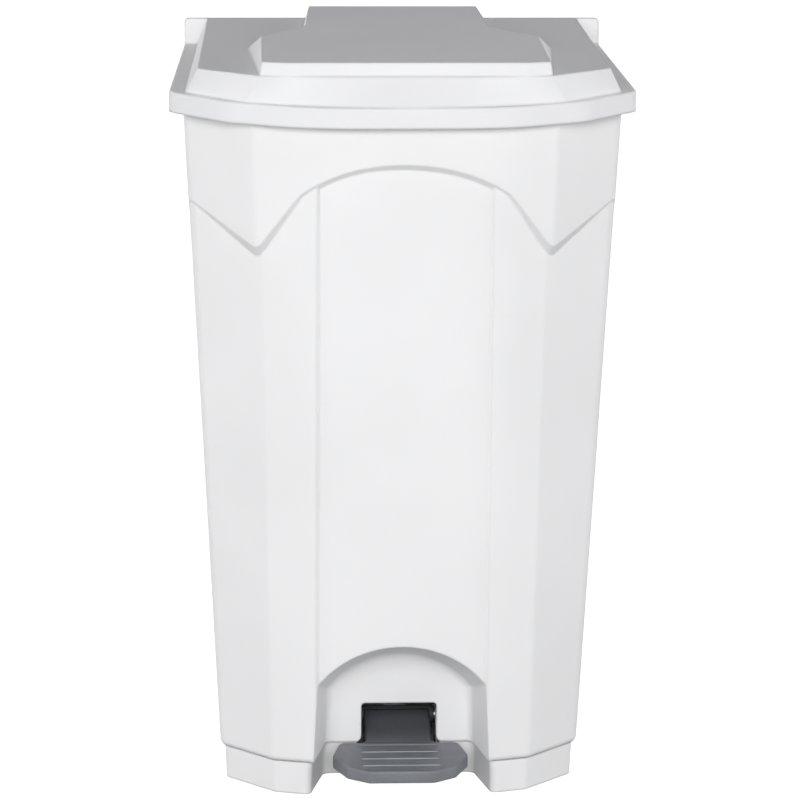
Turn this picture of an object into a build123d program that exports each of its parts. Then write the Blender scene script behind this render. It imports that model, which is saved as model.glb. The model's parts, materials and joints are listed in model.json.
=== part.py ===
from build123d import *
import math
import os

# Pedal bin: a tapering body on a plinth, a hinged lid, a pedal whose lever lifts a push rod
# behind the body, and the rod lifts the lid. Millimetres, +Z up, front towards -Y,
# origin on the floor under the middle of the lid.

os.makedirs("parts", exist_ok=True)

# ---------------------------------------------------------------- overall sizes
LID_WIDTH = 500.0
LID_DEPTH = 410.0
HEIGHT = 820.0
WALL = 3.0

# ---------------------------------------------------------------- heights
PAD_PROUD = 1.0                 # pads stand this far out under the base
PARTING_Z = 40.0                # body meets base
BOSS_END_Z = 48.0               # body bosses stand on the base towers
FLOOR_Z = 90.0                  # underside of the raised bin floor
PLATEAU_RISE = 14.0             # plateau over tray
TRAY_RISE = 29.0                # tray over ledge
LIP_DROP = 22.0                 # lip below ledge
RIM_GAP = 9.0                   # body rim below ledge
TRAY_Z = HEIGHT - PLATEAU_RISE
LEDGE_Z = TRAY_Z - TRAY_RISE
LIP_Z = LEDGE_Z - LIP_DROP
RIM_Z = LEDGE_Z - RIM_GAP

# ---------------------------------------------------------------- body plan
BODY_HALF_TOP = LID_WIDTH / 2 - 16
BODY_HALF_LOW = BODY_HALF_TOP - 35
BODY_FRONT_TOP = -(LID_DEPTH / 2 - 13)
BODY_FRONT_LOW = BODY_FRONT_TOP + 12
BODY_REAR_TOP = LID_DEPTH / 2 - 21
REAR_LEAN = 16.0                # rear wall leans in by this from lip to parting line
BODY_REAR_LOW = BODY_REAR_TOP - REAR_LEAN
BODY_RADII = (14.0, 16.0, 20.0)
RIM_FLANGE = 4.0
TIP_ROUND = 8.0
COLLAR_PROUD = 0.5              # collar stands this far out of the sides
COLLAR_BACK_Y = BODY_FRONT_TOP + 104
PLINTH_STEP = 5.0
PLINTH_ROUND = 7.0
RECESS_STEP = 3.5
TONGUE_GAP = 0.2

# ---------------------------------------------------------------- front panel and recess
PANEL_HALF_TOP = 88.5
PANEL_HALF_LOW = 97.0
PANEL_DEPTH = 4.5
PANEL_BEVEL = 0.78              # sideways run of the panel step for each mm of depth
RECESS_DEPTH = 71.0
RECESS_ROUND = 9.0
RECESS_FRONT = [(0, 188.5), (97.5, 143.5), (106.7, -8.0)]   # crown, shoulder, foot as (x, z), 25 in front
RECESS_BACK = [(0, 145.0), (80.0, 104.0), (82.0, -8.0)]     # the same on the recess's back wall
OPENING_HALF = 42.0
OPENING_TOP_Z = 86.0

# ---------------------------------------------------------------- hinge, rod and pedal
HINGE_Y = LID_DEPTH / 2 - 8
HINGE_Z = RIM_Z
HINGE_X = 126.0
KNUCKLE_LENGTH = 36.0
KNUCKLE_R = 8.0
LUG_THICK = 7.0
LUG_GAP = 0.5
HINGE_PIN_D = 6.0
RUN_FIT = 0.05                  # radial clearance of a turning fit
LID_SWING_DEG = 80.0
ROD_TRAVEL = 29.0
ROD_D = 6.0
AXLE_D = 8.0
CRANK_PIN_D = 5.0
LEVER_PIN_D = 6.0
PIVOT_SET = 165.0               # pedal axle behind the front of the lid
PIVOT_Z = 47.0
TREAD_Z = 40.0
TREAD_THICK = 14.0
NECK_HALF = 37.0
GROOVE_HALF = 15.0
GROOVE_ROOM = 12.1                # groove bottom ahead of the top of the rod line

# sizes that follow
PIVOT_Y = -LID_DEPTH / 2 + PIVOT_SET
HALF_SWING = math.radians(LID_SWING_DEG / 2)
CRANK_R = ROD_TRAVEL / (2 * math.sin(HALF_SWING))
CRANK_Y = HINGE_Y - CRANK_R * math.cos(HALF_SWING)
CRANK_Z = HINGE_Z - CRANK_R * math.sin(HALF_SWING)
ROD_TOP_Y = HINGE_Y - CRANK_R * (1 + math.cos(HALF_SWING)) / 2
GROOVE_DEPTH = BODY_REAR_TOP - ROD_TOP_Y + GROOVE_ROOM
LEAN_RATE = REAR_LEAN / (LIP_Z - PARTING_Z)
LEVER_Z = PIVOT_Z - ROD_TRAVEL / 2


def rear_y(z):
    """Rear face of the body at height z."""
    return BODY_REAR_LOW + LEAN_RATE * (z - PARTING_Z)


def rod_y(z):
    """Centre line of the push rod, parallel to the rear face."""
    return ROD_TOP_Y + LEAN_RATE * (z - CRANK_Z)


LEVER_Y = rod_y(PIVOT_Z)
ROD_LEAN_DEG = math.degrees(math.atan(LEAN_RATE))

# plans as right-hand corners, front middle first
OUTER_TOP = [
    (0, BODY_FRONT_TOP),
    (0.504 * BODY_HALF_TOP, BODY_FRONT_TOP + 9),
    (0.688 * BODY_HALF_TOP, BODY_FRONT_TOP + 23),
    (BODY_HALF_TOP + COLLAR_PROUD, BODY_FRONT_TOP + 86),
    (BODY_HALF_TOP + COLLAR_PROUD - 12, BODY_REAR_TOP + COLLAR_PROUD),
]
INNER_TOP = [
    (0, BODY_FRONT_TOP + 2),
    (0.479 * BODY_HALF_TOP, BODY_FRONT_TOP + 11.5),
    (0.654 * BODY_HALF_TOP, BODY_FRONT_TOP + 32),
    (BODY_HALF_TOP, BODY_FRONT_TOP + 86),
    (BODY_HALF_TOP - 12, BODY_REAR_TOP),
]
BODY_LOW = [
    (0, BODY_FRONT_LOW),
    (0.523 * BODY_HALF_LOW, BODY_FRONT_LOW + 6.5),
    (0.714 * BODY_HALF_LOW, BODY_FRONT_LOW + 16),
    (BODY_HALF_LOW, BODY_FRONT_LOW + 66),
    (BODY_HALF_LOW - 9, BODY_REAR_LOW),
]
LIP_PLAN = [
    (0, -LID_DEPTH / 2),
    (0.24 * LID_WIDTH, -LID_DEPTH / 2 + 9.5),
    (0.38 * LID_WIDTH, -LID_DEPTH / 2 + 38),
    (0.50 * LID_WIDTH, -LID_DEPTH / 2 + 96),
    (0.474 * LID_WIDTH, LID_DEPTH / 2 - 15),
]
TRAY_FOOT = [
    (0, -LID_DEPTH / 2 + 2),
    (0.24 * LID_WIDTH, -LID_DEPTH / 2 + 18),
    (0.34 * LID_WIDTH, -LID_DEPTH / 2 + 35),
    (0.466 * LID_WIDTH, -LID_DEPTH / 2 + 91),
    (0.444 * LID_WIDTH, LID_DEPTH / 2 - 19),
]
TRAY_TOP = [
    (0, -LID_DEPTH / 2 + 24),
    (0.22 * LID_WIDTH, -LID_DEPTH / 2 + 24.5),
    (0.30 * LID_WIDTH, -LID_DEPTH / 2 + 27),
    (0.436 * LID_WIDTH, -LID_DEPTH / 2 + 72),
    (0.42 * LID_WIDTH, LID_DEPTH / 2 - 19),
]


# ---------------------------------------------------------------- plan helpers
def inset(plan, distance):
    """Moves every side of a plan inwards by one distance."""
    x0, y0 = plan[0]
    corners = plan[1:] + [(0, plan[-1][1])]
    lines = []
    for (ax, ay), (bx, by) in zip(corners[:-1], corners[1:]):
        length = math.hypot(bx - ax, by - ay)
        nx, ny = -(by - ay) / length, (bx - ax) / length
        lines.append((ax + nx * distance, ay + ny * distance, bx - ax, by - ay))
    ax, ay, dx, dy = lines[0]
    slope = (corners[0][1] - y0) / corners[0][0]
    moved = [(0, y0 + distance), (ax - distance * (dy / math.hypot(dx, dy) - slope) * 0.5, ay)]
    for (ax, ay, adx, ady), (bx, by, bdx, bdy) in zip(lines[:-1], lines[1:]):
        t = ((bx - ax) * bdy - (by - ay) * bdx) / (adx * bdy - ady * bdx)
        moved.append((ax + t * adx, ay + t * ady))
    return moved


def between(low, top, share):
    """Plan between two plans, or past them."""
    return [
        (a[0] + (b[0] - a[0]) * share, a[1] + (b[1] - a[1]) * share)
        for a, b in zip(low, top)
    ]


def body_plan(top, z, distance=0.0):
    """Body plan at height z, set in by a distance."""
    plan = between(BODY_LOW, top, (z - PARTING_Z) / (LIP_Z - PARTING_Z))
    return inset(plan, distance) if distance else plan


def corner(before, point, after, radius):
    """Start, middle and end of the arc that rounds a corner."""
    a = Vector(*before) - Vector(*point)
    b = Vector(*after) - Vector(*point)
    angle = math.radians(a.get_angle(b))
    reach = radius / math.tan(angle / 2)
    start = Vector(*point) + a.normalized() * reach
    end = Vector(*point) + b.normalized() * reach
    middle_dir = (a.normalized() + b.normalized()).normalized()
    middle = Vector(*point) + middle_dir * (radius / math.sin(angle / 2) - radius)
    return start, middle, end


def plan_face(plan, z, radii=BODY_RADII, shrink=0.0):
    """Closed plan with a bowed front and rounded corners, as a face at height z."""
    p0, p1, p2, p3, p4 = plan
    radii = [max(r - shrink, 1.0) for r in radii]
    arcs = [
        corner(p1, p2, p3, radii[0]),
        corner(p2, p3, p4, radii[1]),
        corner(p3, p4, (0, p4[1]), radii[2]),
    ]
    run = Vector(*p2) - Vector(*p1)
    run = run.normalized()
    s = arcs[0][0]

    def flip(v):
        return Vector(-v.X, v.Y)

    edges = [
        Edge.make_spline(
            [flip(s), Vector(-p1[0], p1[1]), Vector(*p0), Vector(*p1), s],
            tangents=[Vector(run.X, -run.Y), run],
        )
    ]
    last = s
    for start, middle, end in arcs:
        if (start - last).length > 1e-6:
            edges.append(Edge.make_line(last, start))
        edges.append(Edge.make_three_point_arc(start, middle, end))
        last = end
    edges.append(Edge.make_line(last, flip(last)))
    for index in (2, 1, 0):
        start, middle, end = arcs[index]
        edges.append(Edge.make_three_point_arc(flip(end), flip(middle), flip(start)))
        if index:
            edges.append(Edge.make_line(flip(start), flip(arcs[index - 1][2])))
    face = Face(Wire(edges))
    if face.normal_at().Z < 0:
        face = -face
    return Pos(0, 0, z) * face


def taper(top, z0, z1, distance=0.0):
    """Solid between two heights of the body, set in by a distance."""
    faces = [plan_face(body_plan(top, z, distance), z, shrink=distance) for z in (z0, z1)]
    return loft(faces, ruled=True)


def prism(faces):
    return loft(faces, ruled=True)


def cylinder_x(radius, x0, x1, y, z):
    """Cylinder along X between two x values."""
    return Pos((x0 + x1) / 2, y, z) * Rot(0, 90, 0) * Cylinder(radius, abs(x1 - x0))


def box(x0, x1, y0, y1, z0, z1):
    """Box from its six limits."""
    return Pos((x0 + x1) / 2, (y0 + y1) / 2, (z0 + z1) / 2) * Box(x1 - x0, y1 - y0, z1 - z0)


def side_profile(points, x0, x1):
    """Extrudes a polygon of (y, z) points along X."""
    face = Face(Wire.make_polygon([Vector(x0, y, z) for y, z in points], close=True))
    return extrude(face, amount=x1 - x0, dir=(1, 0, 0))


def front_wire(points, y):
    """Face in the plane of one y from right-hand (x, z) points: an arch crown then corners."""
    crown, shoulder, rest = points[0], points[1], points[2:]
    edges = [
        Edge.make_three_point_arc(
            Vector(-shoulder[0], y, shoulder[1]), Vector(0, y, crown), Vector(shoulder[0], y, shoulder[1])
        )
    ]
    path = [shoulder] + rest
    for (ax, az), (bx, bz) in zip(path[:-1], path[1:]):
        edges.append(Edge.make_line(Vector(ax, y, az), Vector(bx, y, bz)))
    last = path[-1]
    edges.append(Edge.make_line(Vector(last[0], y, last[1]), Vector(-last[0], y, last[1])))
    for (ax, az), (bx, bz) in zip(reversed(path[1:]), reversed(path[:-1])):
        edges.append(Edge.make_line(Vector(-ax, y, az), Vector(-bx, y, bz)))
    return Face(Wire(edges))


# ---------------------------------------------------------------- collar, panel, recess
COLLAR_CROWN_Z = LIP_Z - 41
KINK = (0.476 * BODY_HALF_TOP, COLLAR_CROWN_Z - 33)
TIP = (0.67 * BODY_HALF_TOP, COLLAR_CROWN_Z - 95)
SIDE_END = (BODY_HALF_TOP, COLLAR_CROWN_Z - 47)


def collar_window(grow):
    """Arch and legs under the collar; the edge runs back and down at 45 degrees."""
    leg = Vector(TIP[0] - KINK[0], TIP[1] - KINK[1])
    foot = (KINK[0] + leg.X * 1.7, KINK[1] + leg.Y * 1.7)
    normal = Vector(-leg.Y, leg.X).normalized()
    faces = []
    for y in (BODY_FRONT_TOP - 23, BODY_FRONT_TOP + 72):
        crown_move = y - (BODY_FRONT_TOP + 1) + grow
        kink_move = y - (BODY_FRONT_TOP + 8) + grow
        foot_move = y - (BODY_FRONT_TOP + 35) + grow
        kink = (KINK[0] - 0.73 * kink_move, KINK[1] - 0.71 * kink_move)
        low = (foot[0] - abs(normal.X) * foot_move, foot[1] - abs(normal.Y) * foot_move)
        faces.append(front_wire([COLLAR_CROWN_Z - crown_move, kink, low, (30, LIP_Z - 380)], y))
    return prism(faces)


def above_legs(grow):
    """Everything above the outer legs of the collar's edge."""
    tip = Vector(TIP[0], BODY_FRONT_TOP + 24, TIP[1] - 1.2 * grow)
    end = Vector(SIDE_END[0], BODY_FRONT_TOP + 86, SIDE_END[1] - 1.2 * grow)
    normal = (end - tip).cross(Vector(0, 1, -1.0))
    if normal.Z < 0:
        normal = normal * -1
    sheet = Plane(origin=tip, z_dir=normal) * Box(1600, 1600, 900, align=(Align.CENTER, Align.CENTER, Align.MIN))
    right = sheet & box(0, LID_WIDTH, -LID_DEPTH, LID_DEPTH, 0, 2 * HEIGHT)
    return right + mirror(right, Plane.YZ)


def collar_mask(grow=0.0):
    return above_legs(grow) - collar_window(grow)


def rounded_collar_mask():
    """The collar's mask with its two pointed tips rounded."""
    mask = collar_mask()
    tips = [Vertex(side * TIP[0], BODY_FRONT_TOP + 24, TIP[1]) for side in (-1, 1)]
    close = [e for e in mask.edges() if min(e.distance_to(tip) for tip in tips) < 6]
    return fillet([e for e in close if abs((e @ 0).Y - (e @ 1).Y) > 40], TIP_ROUND)


def panel_half(z):
    """Half width of the front panel at height z."""
    share = (z - PARTING_Z) / (COLLAR_CROWN_Z - PARTING_Z)
    return PANEL_HALF_LOW + (PANEL_HALF_TOP - PANEL_HALF_LOW) * share


def panel_cut():
    """What the front panel takes off the lower body."""
    z0, z1 = 0.0, COLLAR_CROWN_Z + 12
    faces = []
    for y in (BODY_FRONT_TOP - 25, BODY_FRONT_TOP + 45):
        spread = (BODY_FRONT_TOP + 13 - y) * PANEL_BEVEL
        points = [
            (-panel_half(z0) - spread, z0),
            (panel_half(z0) + spread, z0),
            (panel_half(z1) + spread, z1),
            (-panel_half(z1) - spread, z1),
        ]
        faces.append(Face(Wire.make_polygon([Vector(x, y, z) for x, z in points], close=True)))
    return prism(faces) - taper(INNER_TOP, -20, RIM_Z, PANEL_DEPTH)


def recess_tool(side=0.0, depth=0.0, rounding=0.0):
    """Arched pedal recess, grown sideways and backwards; its roof drops towards its rounded back."""
    y_front = BODY_FRONT_LOW - 25
    reach = (RECESS_DEPTH + depth + 25) / (RECESS_DEPTH + 25)
    wires = []
    for share in (0.0, reach):
        (_, crown), (shoulder_x, shoulder_z), (foot_x, foot_z) = between(RECESS_FRONT, RECESS_BACK, share)
        points = [crown + side, (shoulder_x + side, shoulder_z + side), (foot_x + side, foot_z)]
        wires.append(front_wire(points, y_front + share * (RECESS_DEPTH + 25)))
    tool = prism(wires)
    if rounding:
        back = tool.faces().sort_by(Axis.Y)[-1]
        tool = fillet([e for e in back.edges() if (e @ 0.5).Z > 0], rounding)
    return tool


def opening_tool():
    """Pedal opening through the recess wall: rounded top, flared foot."""
    y = BODY_FRONT_LOW + RECESS_DEPTH - 12
    half = OPENING_HALF
    edges = [
        Edge.make_line(Vector(-half + 4, y, OPENING_TOP_Z), Vector(half - 4, y, OPENING_TOP_Z)),
        Edge.make_three_point_arc(
            Vector(half - 4, y, OPENING_TOP_Z),
            Vector(half - 1.2, y, OPENING_TOP_Z - 1.2),
            Vector(half, y, OPENING_TOP_Z - 4),
        ),
        Edge.make_line(Vector(half, y, OPENING_TOP_Z - 4), Vector(half, y, PARTING_Z + 8)),
        Edge.make_three_point_arc(
            Vector(half, y, PARTING_Z + 8), Vector(half + 1.3, y, PARTING_Z + 3.2), Vector(half + 4.5, y, PARTING_Z)
        ),
        Edge.make_line(Vector(half + 4.5, y, PARTING_Z), Vector(half + 4.5, y, -5)),
        Edge.make_line(Vector(half + 4.5, y, -5), Vector(-half - 4.5, y, -5)),
        Edge.make_line(Vector(-half - 4.5, y, -5), Vector(-half - 4.5, y, PARTING_Z)),
        Edge.make_three_point_arc(
            Vector(-half - 4.5, y, PARTING_Z), Vector(-half - 1.3, y, PARTING_Z + 3.2), Vector(-half, y, PARTING_Z + 8)
        ),
        Edge.make_line(Vector(-half, y, PARTING_Z + 8), Vector(-half, y, OPENING_TOP_Z - 4)),
        Edge.make_three_point_arc(
            Vector(-half, y, OPENING_TOP_Z - 4),
            Vector(-half + 1.2, y, OPENING_TOP_Z - 1.2),
            Vector(-half + 4, y, OPENING_TOP_Z),
        ),
    ]
    return extrude(Face(Wire(edges)), amount=36, dir=(0, 1, 0))


def groove_tool(extra=0.0):
    """Rod groove up the rear wall, grown by a wall."""
    faces = []
    for z in (-10, RIM_Z + 12):
        y0 = rear_y(z) - GROOVE_DEPTH - extra
        y1 = rear_y(z) + 30
        half = GROOVE_HALF + extra
        points = [(-half, y0), (half, y0), (half, y1), (-half, y1)]
        faces.append(Face(Wire.make_polygon([Vector(x, y, z) for x, y in points], close=True)))
    return prism(faces)


# ---------------------------------------------------------------- shared places
BASE_SCREWS = [
    (sx * (BODY_HALF_LOW - 50), y)
    for sx in (-1, 1)
    for y in (BODY_FRONT_LOW + 80, BODY_REAR_LOW - 48)
]
GUIDE_HEIGHTS = (PARTING_Z + 0.27 * (LIP_Z - PARTING_Z), PARTING_Z + 0.60 * (LIP_Z - PARTING_Z))
BRACKET_SCREW_X = 15.0
BRACKET_Y = HINGE_Y - 18


def on_rear(z, depth):
    """Place in the groove at height z, a depth in from the rear face, turned to its lean."""
    return Pos(0, rear_y(z) - depth, z) * Rot(-ROD_LEAN_DEG, 0, 0)


# ---------------------------------------------------------------- body
def hinge_lugs(x_in, x_out):
    """One lug: a rounded plate standing off the rear wall."""
    profile = [
        (rear_y(RIM_Z - 46) - 1.5, RIM_Z - 46),
        (HINGE_Y + KNUCKLE_R * 0.6, HINGE_Z - KNUCKLE_R * 0.8),
        (HINGE_Y, HINGE_Z),
        (HINGE_Y - KNUCKLE_R, HINGE_Z),
        (rear_y(RIM_Z) - 1.5, RIM_Z - 6),
    ]
    return side_profile(profile, x_in, x_out) + cylinder_x(KNUCKLE_R, x_in, x_out, HINGE_Y, HINGE_Z)


def all_lugs():
    lugs = []
    half = KNUCKLE_LENGTH / 2 + LUG_GAP
    for sx in (-1, 1):
        for side in (-1, 1):
            a = sx * HINGE_X + side * half
            b = a + side * LUG_THICK
            lugs.append(hinge_lugs(min(a, b), max(a, b)))
    return lugs


def body_shell():
    lower = taper(INNER_TOP, PARTING_Z + 5, RIM_Z) - panel_cut()
    skirt = loft(
        [
            plan_face(body_plan(INNER_TOP, PARTING_Z + 5), PARTING_Z + 5),
            plan_face(body_plan(INNER_TOP, PARTING_Z + 1.5, 1.5), PARTING_Z + 1.5, shrink=1.5),
        ],
        ruled=True,
    )
    hem = loft(
        [
            plan_face(body_plan(INNER_TOP, PARTING_Z + 1.5, 1.5), PARTING_Z + 1.5, shrink=1.5),
            plan_face(body_plan(INNER_TOP, PARTING_Z, 2.8), PARTING_Z, shrink=2.8),
        ],
        ruled=True,
    )
    ahead = box(-LID_WIDTH, LID_WIDTH, -LID_DEPTH, COLLAR_BACK_Y, 0, HEIGHT)
    collar = taper(OUTER_TOP, LIP_Z - 330, RIM_Z) & rounded_collar_mask() & ahead
    rim = taper(OUTER_TOP, RIM_Z - 4, RIM_Z, -RIM_FLANGE) - box(
        -LID_WIDTH, LID_WIDTH, BODY_REAR_TOP - 25, LID_DEPTH, 0, HEIGHT
    )
    shell = lower + (skirt + hem - panel_cut()) + collar + rim
    inside = taper(INNER_TOP, FLOOR_Z + WALL, RIM_Z + 4, WALL)
    inside += taper(OUTER_TOP, LIP_Z - 250, RIM_Z + 4, WALL) & collar_mask(-WALL - 2.0) & Pos(0, -6, 0) * ahead
    inside -= panel_shadow()
    inside -= recess_tool(WALL, WALL)
    inside -= groove_tool(WALL)
    under = taper(INNER_TOP, PARTING_Z - 5, FLOOR_Z, WALL) - panel_shadow()
    under -= recess_tool(WALL, WALL)
    under -= groove_tool(WALL)
    shell = shell - inside - under - recess_tool(rounding=RECESS_ROUND) - opening_tool() - groove_tool()
    half = GROOVE_HALF
    shell -= box(-half, half, rear_y(PARTING_Z) - 40, LID_DEPTH, 0, PIVOT_Z + ROD_TRAVEL)
    for x, y in BASE_SCREWS:
        shell += Pos(x, y, (BOSS_END_Z + FLOOR_Z + 1) / 2) * Cylinder(7, FLOOR_Z + 1 - BOSS_END_Z)
        shell -= Pos(x, y, (BOSS_END_Z + 76) / 2) * Cylinder(2.5, 76 - BOSS_END_Z)
    for z in GUIDE_HEIGHTS:
        for sx in (-1, 1):
            place = on_rear(z, GROOVE_DEPTH) * Pos(sx * 9, 0, 0) * Rot(90, 0, 0)
            shell += place * Pos(0, 0, 5) * Cylinder(5, 10 - 0.2)
            shell -= place * Pos(0, 0, 3.5) * Cylinder(1.5, 7.2)
    for lug in all_lugs():
        shell += lug
    for sx in (-1, 1):
        reach = KNUCKLE_LENGTH / 2 + LUG_THICK + 4
        x = sx * HINGE_X
        shell -= cylinder_x(HINGE_PIN_D / 2, x - reach, x + reach, HINGE_Y, HINGE_Z)
        half = KNUCKLE_LENGTH / 2 + LUG_GAP
        shell -= box(x - half, x + half, rear_y(RIM_Z), HINGE_Y + 30, HINGE_Z - 12, HINGE_Z + 20)
    return shell


def panel_shadow():
    """Keeps a wall behind the recessed panel."""
    z0, z1 = 0.0, COLLAR_CROWN_Z - 2
    points = [
        (-panel_half(z0) - WALL, z0),
        (panel_half(z0) + WALL, z0),
        (panel_half(z1) + WALL, z1),
        (-panel_half(z1) - WALL, z1),
    ]
    face = Face(Wire.make_polygon([Vector(x, -LID_DEPTH, z) for x, z in points], close=True))
    front = extrude(face, amount=LID_DEPTH, dir=(0, 1, 0))
    return front - taper(INNER_TOP, -20, RIM_Z + 40, PANEL_DEPTH + WALL)


# ---------------------------------------------------------------- base
def base_tray():
    bottom = PAD_PROUD
    low = loft(
        [
            plan_face(body_plan(INNER_TOP, PARTING_Z, PLINTH_STEP + 1.5), bottom, shrink=5),
            plan_face(body_plan(INNER_TOP, PARTING_Z, PLINTH_STEP), PARTING_Z, shrink=5),
        ],
        ruled=True,
    )
    low -= recess_tool(RECESS_STEP, PLINTH_STEP, RECESS_ROUND)
    mouth = [e for e in low.edges() if abs((e @ 0).Z - (e @ 1).Z) > 30 and (e @ 0.5).Y < BODY_FRONT_LOW + 20]
    low = fillet([e for e in mouth if abs((e @ 0.5).X) < RECESS_FRONT[2][0]], PLINTH_ROUND)
    room = loft(
        [
            plan_face(body_plan(INNER_TOP, PARTING_Z, PLINTH_STEP + 1.5 + WALL), bottom + WALL, shrink=8),
            plan_face(body_plan(INNER_TOP, PARTING_Z, PLINTH_STEP + WALL), PARTING_Z + 1, shrink=8),
        ],
        ruled=True,
    )
    room -= recess_tool(RECESS_STEP + WALL, PLINTH_STEP + WALL)
    tongue = taper(INNER_TOP, PARTING_Z - 0.5, PARTING_Z + 6, WALL + TONGUE_GAP)
    tongue -= taper(INNER_TOP, PARTING_Z - 1, PARTING_Z + 7, PLINTH_STEP + WALL)
    tongue_wall = recess_tool(PLINTH_STEP + WALL, PLINTH_STEP + WALL)
    tongue_wall &= taper(INNER_TOP, PARTING_Z - 0.5, PARTING_Z + 6, PANEL_DEPTH + WALL + TONGUE_GAP)
    tongue = tongue + tongue_wall - recess_tool(WALL + TONGUE_GAP, WALL + TONGUE_GAP)
    tongue -= box(-PANEL_HALF_LOW - 14, PANEL_HALF_LOW + 14, -LID_DEPTH, BODY_FRONT_LOW + 11 + WALL, 0, HEIGHT)
    tray = low - room + tongue
    tray -= opening_tool() & box(-80, 80, -LID_DEPTH, LID_DEPTH, bottom + WALL, HEIGHT)
    half = GROOVE_HALF
    tray -= box(-half, half, rear_y(PARTING_Z) - 30, LID_DEPTH, LEVER_Z - 14, HEIGHT)
    tray -= groove_tool(WALL + TONGUE_GAP) & box(-60, 60, -LID_DEPTH, LID_DEPTH, PARTING_Z, HEIGHT)
    for sx in (-1, 1):
        rib = box(-1.5, 1.5, BODY_FRONT_LOW + 90, BODY_REAR_LOW - 7, bottom + WALL - 0.5, 26)
        tray += Pos(sx * 78, 0, 0) * rib
    for x, y in BASE_SCREWS:
        tray += Pos(x, y, (bottom + 0.5 + BOSS_END_Z) / 2) * Cylinder(8, BOSS_END_Z - bottom - 0.5)
    for x, y in BASE_SCREWS:
        tray -= Pos(x, y, 10) * Cylinder(5.6, 20)
        tray -= Pos(x, y, 30) * Cylinder(2.6, 60)
    for x, y in PAD_PLACES:
        tray -= Pos(x, y, bottom) * Cylinder(9, 2)
    for x, y in BEARING_SCREWS:
        tray += Pos(x, y, bottom + 5) * Cylinder(5, 8)
        tray -= Pos(x, y, bottom + 5.5) * Cylinder(1.7, 8)
    return tray


PAD_PLACES = [
    (sx * (BODY_HALF_LOW - 32), y)
    for sx in (-1, 1)
    for y in (BODY_FRONT_LOW + 68, BODY_REAR_LOW - 24)
]
BEARING_X0 = 44.0
BEARING_X1 = 58.0
BEARING_SCREWS = [(sx * 51.0, PIVOT_Y + dy) for sx in (-1, 1) for dy in (-21, 21)]
BEARING_FOOT_Z = PAD_PROUD + 9


def foot_pads():
    pads = [Pos(x, y, 1) * Cylinder(9, 2) for x, y in PAD_PLACES]
    return Compound(children=pads)


def screw(head_r, head_h, shank_r, length):
    """Pan-head screw, head on top at z = 0, shank down, with a cross in the head."""
    head = Pos(0, 0, head_h / 2) * Cylinder(head_r, head_h)
    head = chamfer(head.edges().group_by(Axis.Z)[-1], head_h * 0.35)
    cross = Pos(0, 0, head_h) * (Box(head_r * 1.1, head_r * 0.26, head_h) + Box(head_r * 0.26, head_r * 1.1, head_h))
    return head - cross + Pos(0, 0, -length / 2) * Cylinder(shank_r, length)


def base_screws():
    one = Rot(180, 0, 0) * screw(4.8, 3.2, 2.5, 52)
    return Compound(children=[Pos(x, y, 20) * one for x, y in BASE_SCREWS])


# ---------------------------------------------------------------- pedal bearing
def bearing_block(sx):
    foot = box(BEARING_X0, BEARING_X1, PIVOT_Y - 28, PIVOT_Y + 28, BEARING_FOOT_Z, BEARING_FOOT_Z + 6)
    post = side_profile(
        [
            (PIVOT_Y - 15, BEARING_FOOT_Z + 3),
            (PIVOT_Y + 15, BEARING_FOOT_Z + 3),
            (PIVOT_Y + AXLE_D / 2 + 6, PIVOT_Z),
            (PIVOT_Y - AXLE_D / 2 - 6, PIVOT_Z),
        ],
        BEARING_X0,
        BEARING_X1,
    )
    eye = cylinder_x(AXLE_D / 2 + 6, BEARING_X0, BEARING_X1, PIVOT_Y, PIVOT_Z)
    block = foot + post + eye - cylinder_x(AXLE_D / 2, BEARING_X0 - 5, BEARING_X1 + 5, PIVOT_Y, PIVOT_Z)
    for x, y in BEARING_SCREWS:
        if x > 0:
            block -= Pos(x, y, BEARING_FOOT_Z) * Cylinder(1.7, 30)
    return block if sx > 0 else mirror(block, Plane.YZ)


def bearing_screws():
    one = screw(3.4, 2.4, 1.7, 11)
    return Compound(children=[Pos(x, y, BEARING_FOOT_Z + 6) * one for x, y in BEARING_SCREWS])


CLIP_X = BEARING_X1 + 0.2
CLIP_T = 1.2


def grooved_pin(diameter, half_length, clip_x):
    """Pin along X with a clip groove near each end."""
    pin = cylinder_x(diameter / 2, -half_length, half_length, 0, 0)
    pin = chamfer(pin.edges(), 0.6)
    for sx in (-1, 1):
        ring = cylinder_x(diameter, sx * clip_x, sx * (clip_x + CLIP_T), 0, 0)
        pin -= ring - cylinder_x(diameter / 2 - 0.7, sx * clip_x, sx * (clip_x + CLIP_T), 0, 0)
    return pin


def clip(diameter, x):
    """Retaining clip: open ring seated in a pin groove."""
    a, b = min(x), max(x)
    ring = cylinder_x(diameter / 2 + 2.6, a, b, 0, 0) - cylinder_x(diameter / 2 - 0.7, a - 1, b + 1, 0, 0)
    mouth = box(a - 1, b + 1, -diameter * 0.3, diameter * 0.3, 0, diameter * 2)
    return ring - mouth


def clip_pair(diameter, clip_x):
    pair = [clip(diameter, (sx * clip_x, sx * (clip_x + CLIP_T))) for sx in (-1, 1)]
    return Compound(children=pair)


def pedal_axle():
    return Pos(0, PIVOT_Y, PIVOT_Z) * grooved_pin(AXLE_D, CLIP_X + 4, CLIP_X)


def axle_clips():
    return Pos(0, PIVOT_Y, PIVOT_Z) * clip_pair(AXLE_D, CLIP_X)


def axle_washers():
    washers = []
    for sx in (-1, 1):
        a, b = sx * (BEARING_X0 - 1.5), sx * BEARING_X0
        ring = cylinder_x(AXLE_D / 2 + 4.5, a, b, PIVOT_Y, PIVOT_Z)
        washers.append(ring - cylinder_x(AXLE_D / 2, a - sx, b + sx, PIVOT_Y, PIVOT_Z))
    return Compound(children=washers)


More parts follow.
